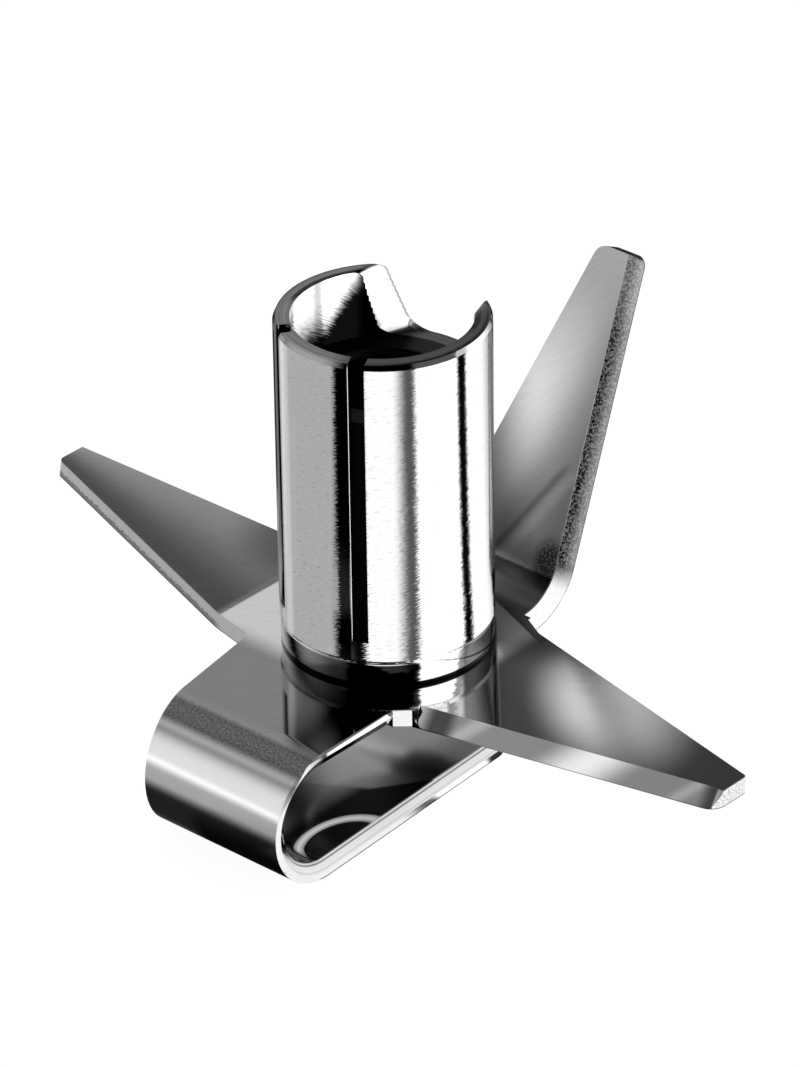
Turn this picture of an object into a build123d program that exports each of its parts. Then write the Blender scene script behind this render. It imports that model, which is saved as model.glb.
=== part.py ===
import math
import os

from build123d import *

os.makedirs("parts", exist_ok=True)

# All lengths in mm. The origin is the centre of the shaft socket's floor,
# on the hub axis and level with the top face of the blade sheet. +Z points
# up the hub, +X along the flat arm and -Y along the folded arm.

# Sheet of the blade
sheet = 1.0
bevel_land = 0.06

# Flat arm, along +X
arm_root_x = 5.97
arm_root_half = 4.89
flat_tip_x = 22.6
flat_tip_half = 1.16
flat_front_corner = 0.9
flat_rear_corner = 0.15
flat_bevel_run = 0.62
flat_bevel_start = 6.1
bevel_nose = 0.5

# Shallow arm, along -X, bent up a little
shallow_angle = 9.6
shallow_bend_radius = 3.0
shallow_bend_x = -7.8
shallow_taper = 0.2223
shallow_front_half = 4.24
shallow_rear_half = 4.5
shallow_length = 14.6
shallow_bevel_run = 0.5
shallow_corner = 0.32
shallow_front_root_x = -5.43
shallow_rear_root_x = -5.6

# Steep arm, along +Y, bent up steeply
steep_angle = 64.0
steep_bend_radius = 2.75
steep_bend_y = 7.52
steep_right_root = 4.62
steep_right_tip = 3.42
steep_left_root = -4.17
steep_left_slope = 0.257
steep_length = 18.35
steep_bevel_run = 0.48
steep_left_corner = 0.75
steep_right_corner = 0.6
steep_right_relief = 0.2
steep_left_relief = 0.3

# Folded arm, along -Y, folded under the hub
fold_radius = 3.69
fold_centre_y = -10.65
fold_right_x = 5.25
fold_left_root = -5.15
fold_left_slope = 0.169
fold_root_y = -5.53
lip_end_y = 4.6
lip_right_end_x = 4.38
lip_corner = 1.2
ring_bevel_run = 0.4
ring_bevel_depth = 0.62

# Hub
hub_clock = -92.6
sleeve_radius = 5.5
sleeve_bore = 4.63
sleeve_bottom = 1.43
sleeve_foot_chamfer = 0.12
rim_height = 18.45
rim_chamfer_height = 0.25
rim_chamfer_width = 0.12
slot_width = 0.85
slot_spread = 30.1
slot_bottom = 2.6
notch_angle = 97.0
notch_outer_rim_half = 2.81
notch_outer_floor_half = 1.49
notch_outer_left_lip_round = 0.8
notch_outer_right_lip_round = 1.7
notch_outer_floor_round = 1.2
notch_inner_distance = 2.8
notch_inner_rim_half = 3.5
notch_inner_floor_half = 3.28
notch_inner_left_lip_round = 0.3
notch_inner_right_lip_round = 0.6
notch_inner_floor_round = 0.35
collar_radius = 5.46
core_top = 14.75
socket_radius = 3.0
socket_chamfer = 0.3
tenon_radius = 3.6
rivet_radius = 4.4
rivet_height = 0.7
rivet_edge = 0.35

shallow_rise = math.radians(shallow_angle)
steep_rise = math.radians(steep_angle)
shallow_back = shallow_bend_radius * math.tan(shallow_rise / 2)
steep_back = steep_bend_radius * math.tan(steep_rise / 2)
shallow_start_x = shallow_bend_x + shallow_back
steep_start_y = steep_bend_y - steep_back


# Edge lines of the bent arms. Distance s runs along the arm's top face from
# the line where that face, left unrounded, would meet the flat middle.
def shallow_front(s):
    return -(shallow_front_half - shallow_taper * s)


def shallow_rear(s):
    return shallow_rear_half - shallow_taper * s


def steep_left(s):
    return steep_left_root + steep_left_slope * (s + steep_back)


def steep_right(s):
    share = (s - steep_back) / (steep_length - steep_back)
    return steep_right_root + (steep_right_tip - steep_right_root) * max(share, 0)


# Plane of each bent arm: local x runs across the arm, local y along it, and
# local z out of the face that is the top of the sheet.
shallow_plane = Plane(
    origin=(shallow_bend_x, 0, 0),
    x_dir=(0, 1, 0),
    z_dir=(math.sin(shallow_rise), 0, math.cos(shallow_rise)),
)
steep_plane = Plane(
    origin=(0, steep_bend_y, 0),
    x_dir=(1, 0, 0),
    z_dir=(0, -math.sin(steep_rise), math.cos(steep_rise)),
)


def fold_left(y):
    return fold_left_root + fold_left_slope * (fold_root_y - y)


def bevel_wedge(start, end, run, nose=0):
    """Solid that grinds one edge of a sheet whose top face is local z = 0.

    The edge goes from start to end, with the metal on its left-hand side. The
    grinding stops at start, with a rounded end where a nose radius is given.
    """
    along = Vector(*end) - Vector(*start)
    length = along.length
    along = along.normalized()
    inward = Vector(-along.Y, along.X)
    depth = sheet - bevel_land
    face_height = math.hypot(run, depth)
    down = (inward * -run + Vector(0, 0, -depth)).normalized()
    ground_face = Plane(
        origin=Vector(*start) + inward * run,
        x_dir=along,
        z_dir=along.cross(down) * -1,
    )
    with BuildPart() as wedge:
        with BuildSketch(ground_face) as outline:
            with Locations((length / 2, 0)):
                Rectangle(length, 2 * face_height)
            if nose:
                low_corner = outline.vertices().sort_by_distance((0, -face_height, 0))[0]
                fillet(low_corner, nose)
        extrude(amount=3)
    return wedge.part


def beveled_section(left, right, run):
    """Section of the sheet, ground along its right-hand edge."""
    return [
        (left, 0),
        (right - run, 0),
        (right, -sheet + bevel_land),
        (right, -sheet),
        (left, -sheet),
    ]


# Blade, one stamped and bent sheet
with BuildPart() as blade:
    # Flat middle with the flat arm
    with BuildSketch(Plane.XY) as middle:
        with BuildLine():
            Polyline(
                (fold_left(fold_centre_y), fold_centre_y),
                (fold_right_x, fold_centre_y),
                (fold_right_x, fold_root_y),
                (arm_root_x, -arm_root_half),
                (flat_tip_x, -flat_tip_half),
                (flat_tip_x, flat_tip_half),
                (arm_root_x, arm_root_half),
                (steep_right(0), steep_start_y - steep_right_relief),
                (steep_right(0), steep_start_y),
                (steep_left_root, steep_start_y),
                (steep_left_root, steep_start_y - steep_left_relief),
                (
                    shallow_rear_root_x,
                    shallow_rear(shallow_bend_x - shallow_rear_root_x),
                ),
                (shallow_start_x, shallow_rear(-shallow_back)),
                (shallow_start_x, shallow_front(-shallow_back)),
                (
                    shallow_front_root_x,
                    shallow_front(shallow_bend_x - shallow_front_root_x),
                ),
                (fold_left(fold_root_y), fold_root_y),
                close=True,
            )
        make_face()
        front_tip = middle.vertices().sort_by_distance((flat_tip_x, -flat_tip_half, 0))[0]
        fillet(front_tip, flat_front_corner)
        rear_tip = middle.vertices().sort_by_distance((flat_tip_x, flat_tip_half, 0))[0]
        fillet(rear_tip, flat_rear_corner)
    extrude(amount=-sheet)
    flat_slope = (arm_root_half - flat_tip_half) / (flat_tip_x - arm_root_x)
    bevel_start_half = arm_root_half - flat_slope * (flat_bevel_start - arm_root_x)
    add(
        bevel_wedge(
            (flat_bevel_start, -bevel_start_half),
            (flat_tip_x + 1, -flat_tip_half + flat_slope),
            flat_bevel_run,
            bevel_nose,
        ),
        mode=Mode.SUBTRACT,
    )

    # Shallow arm: its bend, then the arm with the edge away from the fold ground
    with BuildLine(Plane.XZ) as shallow_path:
        CenterArc(
            (shallow_start_x, shallow_bend_radius),
            shallow_bend_radius,
            -90,
            -shallow_angle,
        )
    shallow_ends = (-shallow_back, shallow_back)
    with BuildSketch(
        Plane(origin=(shallow_start_x, 0, 0), x_dir=(0, 1, 0), z_dir=(1, 0, 0))
    ) as shallow_first:
        Polygon(
            (shallow_front(-shallow_back), 0),
            (shallow_rear(-shallow_back), 0),
            (shallow_rear(-shallow_back), -sheet),
            (shallow_front(-shallow_back), -sheet),
            align=None,
        )
    with BuildSketch(
        Plane(
            origin=shallow_plane.from_local_coords((0, shallow_back, 0)),
            x_dir=shallow_plane.x_dir,
            z_dir=shallow_plane.y_dir * -1,
        )
    ) as shallow_last:
        Polygon(
            (shallow_front(shallow_back), 0),
            (shallow_rear(shallow_back), 0),
            (shallow_rear(shallow_back), -sheet),
            (shallow_front(shallow_back), -sheet),
            align=None,
        )
    sweep(
        [shallow_first.sketch, shallow_last.sketch],
        path=shallow_path.line,
        multisection=True,
    )
    with BuildPart(mode=Mode.PRIVATE) as shallow_arm:
        with BuildSketch(Plane.XY) as shallow_outline:
            with BuildLine():
                Polyline(
                    (shallow_front(shallow_back), shallow_back),
                    (shallow_rear(shallow_back), shallow_back),
                    (shallow_rear(shallow_length), shallow_length),
                    (shallow_front(shallow_length), shallow_length),
                    close=True,
                )
            make_face()
            fillet(shallow_outline.vertices().sort_by(Axis.Y)[-2:], shallow_corner)
        extrude(amount=-sheet)
        add(
            bevel_wedge(
                (shallow_rear(shallow_back + 0.3), shallow_back + 0.3),
                (shallow_rear(shallow_length + 1), shallow_length + 1),
                shallow_bevel_run,
                bevel_nose,
            ),
            mode=Mode.SUBTRACT,
        )
    add(shallow_plane.location * shallow_arm.part)

    # Steep arm: bend and arm are both ground on the side of the flat arm
    with BuildLine(Plane.YZ) as steep_path:
        CenterArc(
            (steep_start_y, steep_bend_radius), steep_bend_radius, -90, steep_angle
        )
    with BuildSketch(
        Plane(origin=(0, steep_start_y, 0), x_dir=(1, 0, 0), z_dir=(0, -1, 0))
    ) as steep_first:
        Polygon(
            *beveled_section(
                steep_left(-steep_back), steep_right(-steep_back), steep_bevel_run
            ),
            align=None,
        )
    with BuildSketch(
        Plane(
            origin=steep_plane.from_local_coords((0, steep_back, 0)),
            x_dir=steep_plane.x_dir,
            z_dir=steep_plane.y_dir * -1,
        )
    ) as steep_last:
        Polygon(
            *beveled_section(
                steep_left(steep_back), steep_right(steep_back), steep_bevel_run
            ),
            align=None,
        )
    sweep(
        [steep_first.sketch, steep_last.sketch], path=steep_path.line, multisection=True
    )
    with BuildPart(mode=Mode.PRIVATE) as steep_arm:
        with BuildSketch(Plane.XY) as steep_outline:
            with BuildLine():
                Polyline(
                    (steep_left(steep_back), steep_back),
                    (steep_right(steep_back), steep_back),
                    (steep_right(steep_length), steep_length),
                    (steep_left(steep_length), steep_length),
                    close=True,
                )
            make_face()
            tip = steep_outline.vertices().sort_by(Axis.Y)[-2:].sort_by(Axis.X)
            fillet(tip[0], steep_left_corner)
            tip = steep_outline.vertices().sort_by_distance(
                (steep_right(steep_length), steep_length, 0)
            )
            fillet(tip[0], steep_right_corner)
        extrude(amount=-sheet)
        add(
            bevel_wedge(
                (steep_right(steep_back), steep_back),
                (
                    steep_right(steep_length + 1),
                    steep_length + 1,
                ),
                steep_bevel_run,
            ),
            mode=Mode.SUBTRACT,
        )
    add(steep_plane.location * steep_arm.part)

    # Folded arm: half ring, then the lip that runs back under the hub
    fold_inner = fold_radius - sheet
    fold_outer_y = fold_centre_y - fold_radius
    with BuildPart(mode=Mode.PRIVATE) as fold:
        with BuildSketch(Plane.YZ):
            with Locations((fold_centre_y, -fold_radius)):
                Circle(fold_radius)
                Circle(fold_inner, mode=Mode.SUBTRACT)
            with Locations((fold_centre_y + fold_radius, -fold_radius)):
                Rectangle(2 * fold_radius, 4 * fold_radius, mode=Mode.SUBTRACT)
        extrude(amount=10, both=True)
        with BuildSketch(Plane.XY):
            Polygon(
                (fold_left(fold_centre_y), fold_centre_y),
                (fold_right_x, fold_centre_y),
                (fold_right_x, fold_outer_y - 1),
                (fold_left(fold_outer_y - 1), fold_outer_y - 1),
                align=None,
            )
        extrude(amount=10, both=True, mode=Mode.INTERSECT)
    add(fold.part)
    with BuildSketch(Plane.XY.offset(-2 * fold_radius)) as lip:
        with BuildLine():
            Polyline(
                (fold_left(fold_centre_y), fold_centre_y),
                (fold_right_x, fold_centre_y),
                (lip_right_end_x, lip_end_y),
                (fold_left(fold_centre_y), lip_end_y),
                close=True,
            )
        make_face()
        fillet(lip.vertices().sort_by(Axis.Y)[-2:], lip_corner)
    extrude(amount=sheet)

    # Edge of the fold on the side of the flat arm, ground from the inside
    fold_axis = Axis((0, fold_centre_y, -fold_radius), (1, 0, 0))
    with BuildPart(mode=Mode.PRIVATE) as ring_grinding:
        for inner_face, up in ((-sheet, 1), (-2 * fold_radius + sheet, -1)):
            with BuildSketch(Plane.XZ.offset(-fold_centre_y)) as grinding:
                Polygon(
                    (fold_right_x - ring_bevel_run, inner_face),
                    (
                        fold_right_x + ring_bevel_run,
                        inner_face + up * 2 * ring_bevel_depth,
                    ),
                    (fold_right_x + ring_bevel_run, inner_face - up * 0.5),
                    (fold_right_x - ring_bevel_run, inner_face - up * 0.5),
                    align=None,
                )
            if up == 1:
                extrude(grinding.sketch, amount=fold_root_y - fold_centre_y, dir=(0, 1, 0))
                revolve(grinding.sketch, axis=fold_axis, revolution_arc=180)
            else:
                lip_edge = Vector(
                    lip_right_end_x - fold_right_x, lip_end_y - fold_centre_y, 0
                )
                extrude(grinding.sketch, amount=lip_edge.length + 1, dir=lip_edge)
    add(ring_grinding.part, mode=Mode.SUBTRACT)

    # Hole for the hub's tenon
    with BuildSketch(Plane.XY):
        Circle(tenon_radius)
    extrude(amount=-sheet, mode=Mode.SUBTRACT)

print("blade", round(blade.part.volume), "mm3")
blade.part.label = "blade"
export_step(blade.part, "parts/blade.step")

# Hub sleeve: a tube with a spring tongue between two slots and, across from
# it, a notch with flared sides that takes the drive pin
with BuildPart() as hub_sleeve:
    with BuildSketch(Plane.XZ):
        with BuildLine():
            Polyline(
                (sleeve_bore, sleeve_bottom),
                (sleeve_radius - sleeve_foot_chamfer, sleeve_bottom),
                (sleeve_radius, sleeve_bottom + sleeve_foot_chamfer),
                (sleeve_radius, rim_height - rim_chamfer_height),
                (sleeve_radius - rim_chamfer_width, rim_height),
                (sleeve_bore, rim_height),
                close=True,
            )
        make_face()
    revolve(axis=Axis.Z)
    for slot_angle in (hub_clock - slot_spread, hub_clock + slot_spread):
        slot_plane = Plane.XY.offset(slot_bottom).rotated((0, 0, slot_angle))
        with BuildSketch(slot_plane):
            with Locations(((sleeve_bore + sleeve_radius) / 2, 0)):
                Rectangle(3 * (sleeve_radius - sleeve_bore), slot_width)
        extrude(amount=rim_height, mode=Mode.SUBTRACT)
    # The notch goes down to the core's top and is wider inside than outside. It
    # is lofted between its outlines at two distances from the hub axis.
    notch_plane = Plane.XZ.rotated((0, 0, notch_angle - 90))
    notch_outer_rounds = [
        notch_outer_left_lip_round,
        notch_outer_floor_round,
        notch_outer_floor_round,
        notch_outer_right_lip_round,
    ]
    notch_inner_rounds = [
        notch_inner_left_lip_round,
        notch_inner_floor_round,
        notch_inner_floor_round,
        notch_inner_right_lip_round,
    ]
    notch_faces = []
    for distance, rim_half, floor_half, rounds in (
        (sleeve_radius, notch_outer_rim_half, notch_outer_floor_half, notch_outer_rounds),
        (
            notch_inner_distance,
            notch_inner_rim_half,
            notch_inner_floor_half,
            notch_inner_rounds,
        ),
    ):
        reach = rim_half + max(rounds)
        with BuildSketch(notch_plane.offset(-distance)) as notch_face:
            with BuildLine():
                FilletPolyline(
                    (-reach, rim_height),
                    (-rim_half, rim_height),
                    (-floor_half, core_top),
                    (floor_half, core_top),
                    (rim_half, rim_height),
                    (reach, rim_height),
                    radius=rounds,
                )
                Polyline(
                    (reach, rim_height),
                    (reach, rim_height + 1),
                    (-reach, rim_height + 1),
                    (-reach, rim_height),
                )
            make_face()
        notch_faces.append(notch_face.sketch)
    loft(notch_faces, ruled=True, mode=Mode.SUBTRACT)

print("hub sleeve", round(hub_sleeve.part.volume), "mm3")
hub_sleeve.part.label = "hub_sleeve"
export_step(hub_sleeve.part, "parts/hub_sleeve.step")

# Hub core: turned, with the collar under the sleeve, the shaft socket, and a
# tenon that is set through the blade and headed over below it
with BuildPart() as hub_core:
    with BuildSketch(Plane.XZ):
        with BuildLine():
            Polyline(
                (0, -sheet - rivet_height),
                (rivet_radius - rivet_edge, -sheet - rivet_height),
                (rivet_radius, -sheet - rivet_height + rivet_edge),
                (rivet_radius, -sheet),
                (tenon_radius, -sheet),
                (tenon_radius, 0),
                (collar_radius, 0),
                (collar_radius, sleeve_bottom),
                (sleeve_bore, sleeve_bottom),
                (sleeve_bore, core_top),
                (socket_radius + socket_chamfer, core_top),
                (socket_radius, core_top - socket_chamfer),
                (socket_radius, 0),
                (0, 0),
                close=True,
            )
        make_face()
    revolve(axis=Axis.Z)

print("hub core", round(hub_core.part.volume), "mm3")
hub_core.part.label = "hub_core"
export_step(hub_core.part, "parts/hub_core.step")
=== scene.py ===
import math

import bmesh
import bpy
from mathutils import Matrix, Vector


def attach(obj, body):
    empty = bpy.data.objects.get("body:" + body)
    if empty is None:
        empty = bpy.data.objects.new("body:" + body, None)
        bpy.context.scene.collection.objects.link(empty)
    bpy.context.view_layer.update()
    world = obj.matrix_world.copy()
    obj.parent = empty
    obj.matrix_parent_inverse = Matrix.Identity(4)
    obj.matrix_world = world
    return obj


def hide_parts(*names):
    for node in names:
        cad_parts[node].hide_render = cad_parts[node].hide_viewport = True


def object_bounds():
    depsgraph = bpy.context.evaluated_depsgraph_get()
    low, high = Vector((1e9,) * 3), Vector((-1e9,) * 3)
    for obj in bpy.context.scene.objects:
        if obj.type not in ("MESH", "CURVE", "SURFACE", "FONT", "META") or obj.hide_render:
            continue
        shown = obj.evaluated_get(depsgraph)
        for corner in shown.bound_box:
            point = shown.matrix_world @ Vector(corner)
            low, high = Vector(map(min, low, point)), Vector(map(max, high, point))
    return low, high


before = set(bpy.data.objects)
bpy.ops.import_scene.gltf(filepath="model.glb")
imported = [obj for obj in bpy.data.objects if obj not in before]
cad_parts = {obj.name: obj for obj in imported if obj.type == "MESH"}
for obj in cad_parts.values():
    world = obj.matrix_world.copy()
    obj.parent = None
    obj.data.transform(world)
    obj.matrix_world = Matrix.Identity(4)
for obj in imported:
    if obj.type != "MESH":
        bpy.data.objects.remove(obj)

mm = 0.001  # sizes below are in millimetres, as on a drawing
scene = bpy.context.scene
cadBox = [list(corner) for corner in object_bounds()]


# node trees are wired through these few helpers
def addNode(tree, kind, inputs=None, **settings):
    made = tree.nodes.new(kind)
    for key, value in settings.items():
        setattr(made, key, value)
    for key, value in (inputs or {}).items():
        plug(made.inputs[key], value)
    return made


def plug(socket, value):
    if isinstance(value, bpy.types.NodeSocket):
        socket.id_data.links.new(value, socket)
    else:
        socket.default_value = value


# the tree that the first socket among the values belongs to
def treeOf(*values):
    return next(value.id_data for value in values if isinstance(value, bpy.types.NodeSocket))


def calc(operation, *values, clamp=False):
    given = dict(enumerate(values))
    made = addNode(treeOf(*values), "ShaderNodeMath", given, operation=operation, use_clamp=clamp)
    return made.outputs[0]


def vectorCalc(operation, *values):
    given = dict(enumerate(values))
    made = addNode(treeOf(*values), "ShaderNodeVectorMath", given, operation=operation)
    return made.outputs["Value" if operation in ("DOT_PRODUCT", "LENGTH") else "Vector"]


def scaled(vector, factor):
    given = {0: vector, "Scale": factor}
    return addNode(treeOf(vector), "ShaderNodeVectorMath", given, operation="SCALE").outputs["Vector"]


def split(vector):
    return tuple(addNode(treeOf(vector), "ShaderNodeSeparateXYZ", {0: vector}).outputs)


def join(*parts):
    return addNode(treeOf(*parts), "ShaderNodeCombineXYZ", dict(enumerate(parts))).outputs[0]


# 0 at start, 1 at end, with a smooth run between them
def ease(value, start, end):
    given = {"Value": value, "From Min": start, "From Max": end}
    made = addNode(treeOf(value), "ShaderNodeMapRange", given, interpolation_type="SMOOTHSTEP")
    return made.outputs["Result"]


def blendValues(share, first, second):
    given = {0: share, 2: first, 3: second}
    return addNode(treeOf(share), "ShaderNodeMix", given, data_type="FLOAT").outputs[0]


def times(first, *others):
    for other in others:
        first = calc("MULTIPLY", first, other)
    return first


def timesPlus(value, factor, added):
    return calc("MULTIPLY_ADD", value, factor, added)


def minus(value, taken):
    return calc("SUBTRACT", value, taken)


# the tone, brought to the factor of itself where the mask is 1
def toned(tone, mask, factor):
    return times(tone, blendValues(mask, 1.0, factor))


# angle round the Z axis: in radians from the middle, and in degrees counted on from it
def angleRound(x, y, middle):
    cosine, sine = math.cos(math.radians(middle)), math.sin(math.radians(middle))
    ahead = timesPlus(y, sine, times(x, cosine))
    aside = timesPlus(x, -sine, times(y, cosine))
    turn = calc("ARCTAN2", aside, ahead)
    return turn, timesPlus(turn, 180 / math.pi, middle)


def makeObject(name, mesh):
    piece = bpy.data.objects.new(name, mesh)
    scene.collection.objects.link(piece)
    return piece


def bakeModifiers(piece):
    graph = bpy.context.evaluated_depsgraph_get()
    mesh = bpy.data.meshes.new_from_object(piece.evaluated_get(graph), depsgraph=graph)
    piece.modifiers.clear()
    piece.data = mesh
    return piece


def setModifierInput(modifier, name, value):
    for item in modifier.node_group.interface.items_tree:
        if item.item_type == "SOCKET" and item.in_out == "INPUT" and item.name == name:
            modifier[item.identifier] = value


def rework(mesh, *changes):
    work = bmesh.new()
    work.from_mesh(mesh)
    for change in changes:
        change(work)
    work.to_mesh(mesh)
    work.free()


# joins points that a cut has left too close together
def mergeClose(distance):
    return lambda work: bmesh.ops.remove_doubles(work, verts=work.verts, dist=distance * mm)


# takes out the edges between faces that lie flat within the angle
def joinFlats(degrees):
    angle = math.radians(degrees)
    return lambda work: bmesh.ops.dissolve_limit(
        work, angle_limit=angle, verts=work.verts, edges=work.edges
    )


def roundEdges(piece, width, segments, sharpAngle):
    piece.data.polygons.foreach_set("use_smooth", [True] * len(piece.data.polygons))
    bevel = piece.modifiers.new("Edge rounding", "BEVEL")
    bevel.width = width * mm
    bevel.segments = segments
    bevel.limit_method = "ANGLE"
    bevel.angle_limit = math.radians(sharpAngle)
    bevel.harden_normals = True
    weighted = piece.modifiers.new("Flat faces stay flat", "WEIGHTED_NORMAL")
    weighted.weight = 100
    weighted.keep_sharp = True
    return bakeModifiers(piece)


def wear(piece, material):
    piece.data.materials.clear()
    piece.data.materials.append(material)
    piece.data.polygons.foreach_set("material_index", [0] * len(piece.data.polygons))


# points of a run of straight lines whose corners are rounded by the given radii;
# the straights are divided as well, so that faces laid between two runs stay true
def roundedRun(corners, radii, steps):
    arcs = []
    for i, corner in enumerate(corners):
        here = Vector(corner)
        if i in (0, len(corners) - 1):
            arcs.append([here])
            continue
        before = (Vector(corners[i - 1]) - here).normalized()
        after = (Vector(corners[i + 1]) - here).normalized()
        half = before.angle(after) / 2
        radius = radii[i - 1]
        centre = here + (before + after).normalized() * radius / math.sin(half)
        first = here + before * radius / math.tan(half) - centre
        last = here + after * radius / math.tan(half) - centre
        turn = first.angle(last)
        arc = []
        for step in range(steps + 1):
            share = step / steps
            spoke = first * math.sin((1 - share) * turn) + last * math.sin(share * turn)
            arc.append(centre + spoke / math.sin(turn))
        arcs.append(arc)
    points = []
    for arc, following in zip(arcs, arcs[1:]):
        points += arc
        points += [arc[-1].lerp(following[0], step / steps) for step in range(1, steps)]
    return points + arcs[-1]


# a turned piece: the profile's points (radius, height) are carried round the Z axis,
# then the slots and the piece named in Cut Away are taken out of it
def buildTurnedTree():
    tree = bpy.data.node_groups.new("turnedPiece", "GeometryNodeTree")
    for name, kind, start in (
        ("Profile", "Geometry", None),
        ("Steps Round", "Int", 256),
        ("Cut Away", "Object", None),
        ("Slots", "Int", 0),
        ("Slot Width", "Float", 1.0),
        ("Slot Depth", "Float", 1.0),
        ("Slot Foot", "Float", 0.0),
        ("Slot Head", "Float", 1.0),
        ("Slot Radius", "Float", 1.0),
        ("First Slot", "Float", 0.0),
        ("Slot Spacing", "Float", 0.0),
        ("Material", "Material", None),
    ):
        socket = tree.interface.new_socket(name, in_out="INPUT", socket_type="NodeSocket" + kind)
        if start is not None:
            socket.default_value = start
    tree.interface.new_socket("Geometry", in_out="OUTPUT", socket_type="NodeSocketGeometry")
    start = addNode(tree, "NodeGroupInput").outputs

    def made(kind, inputs=None, **settings):
        return addNode(tree, "GeometryNode" + kind, inputs, **settings).outputs

    profile, head, foot = start["Profile"], start["Slot Head"], start["Slot Foot"]
    rows = made("AttributeDomainSize", {"Geometry": profile}, component="MESH")["Point Count"]
    grid = made("MeshGrid", {"Vertices X": start["Steps Round"], "Vertices Y": rows})
    position = made("InputPosition")[0]
    across, along, _ = split(position)
    row = calc("ROUND", times(calc("ADD", along, 0.5), minus(rows, 1)))
    turn = times(across, 2 * math.pi)
    given = {"Geometry": profile, "Value": position, "Index": row}
    point = made("SampleIndex", given, data_type="FLOAT_VECTOR", domain="POINT")["Value"]
    radius, _, height = split(point)
    ring = join(times(radius, calc("COSINE", turn)), times(radius, calc("SINE", turn)), height)
    shaped = made("SetPosition", {"Geometry": grid["Mesh"], "Position": ring})["Geometry"]
    closed = made("MergeByDistance", {"Geometry": shaped, "Distance": 0.002 * mm})["Geometry"]

    # one box for each slot, stood round the axis
    box = made("MeshCube", {"Size": join(start["Slot Depth"], start["Slot Width"], minus(head, foot))})
    middle = join(start["Slot Radius"], 0.0, times(calc("ADD", head, foot), 0.5))
    moved = made("Transform", {"Geometry": box["Mesh"], "Translation": middle})["Geometry"]
    stations = made("MeshLine", {"Count": start["Slots"], "Offset": (0, 0, 0)})["Mesh"]
    clock = timesPlus(made("InputIndex")[0], start["Slot Spacing"], start["First Slot"])
    given = {"Points": stations, "Instance": moved, "Rotation": join(0.0, 0.0, clock)}
    slots = made("RealizeInstances", {"Geometry": made("InstanceOnPoints", given)["Instances"]})
    cutter = made("ObjectInfo", {"Object": start["Cut Away"]}, transform_space="RELATIVE")
    cut = addNode(tree, "GeometryNodeMeshBoolean", {"Mesh 1": closed}, operation="DIFFERENCE")
    cut.solver = "EXACT"
    for taken in (slots, cutter):
        plug(cut.inputs["Mesh 2"], taken["Geometry"])

    whole = made("RealizeInstances", {"Geometry": cut.outputs["Mesh"]})["Geometry"]
    finished = made("SetMaterial", {"Geometry": whole, "Material": start["Material"]})
    addNode(tree, "NodeGroupOutput", {"Geometry": finished["Geometry"]})
    return tree


turnedTree = buildTurnedTree()


def turnedPiece(name, profile, material, inputs):
    mesh = bpy.data.meshes.new(name)
    points = [(radius * mm, 0, height * mm) for radius, height in profile]
    mesh.from_pydata(points, [(i, i + 1) for i in range(len(points) - 1)], [])
    piece = makeObject(name, mesh)
    modifier = piece.modifiers.new("Turned piece", "NODES")
    modifier.node_group = turnedTree
    setModifierInput(modifier, "Material", material)
    for key, value in inputs.items():
        setModifierInput(modifier, key, value)
    return bakeModifiers(piece)


# effects that more than one metal uses, each a node group
def newGroup(name, inputs, outputs):
    tree = bpy.data.node_groups.new(name, "ShaderNodeTree")
    for key, start in inputs.items():
        kind = "Vector" if isinstance(start, tuple) else "Float"
        socket = tree.interface.new_socket(key, in_out="INPUT", socket_type="NodeSocket" + kind)
        socket.default_value = start
    for key, kind in outputs.items():
        tree.interface.new_socket(key, in_out="OUTPUT", socket_type="NodeSocket" + kind)
    return tree, addNode(tree, "NodeGroupInput").outputs, addNode(tree, "NodeGroupOutput").inputs


def useGroup(group, values):
    return addNode(treeOf(*values.values()), "ShaderNodeGroup", values, node_tree=group).outputs


# 1 between From and To, eased off over Softness at both
def buildSoftBand():
    inputs = {"Value": 0, "From": 0, "To": 1, "Softness": 0.1}
    tree, given, result = newGroup("softBand", inputs, {"Mask": "Float"})
    sides = []
    for edge in ("From", "To"):
        low = minus(given[edge], given["Softness"])
        high = calc("ADD", given[edge], given["Softness"])
        sides.append(ease(given["Value"], low, high))
    plug(result["Mask"], calc("SUBTRACT", *sides, clamp=True))
    return tree


# 1 inside an oval, eased off at its edge
def buildSoftSpot():
    inputs = {"Place": (0, 0, 0), "Centre": (0, 0, 0), "Size": (1, 1, 1), "Softness": 0.5}
    tree, given, result = newGroup("softSpot", inputs, {"Mask": "Float"})
    away = vectorCalc("SUBTRACT", given["Place"], given["Centre"])
    away = vectorCalc("LENGTH", vectorCalc("DIVIDE", away, given["Size"]))
    inner = minus(1.0, given["Softness"])
    outer = calc("ADD", 1.0, given["Softness"])
    plug(result["Mask"], minus(1.0, ease(away, inner, outer)))
    return tree


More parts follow.
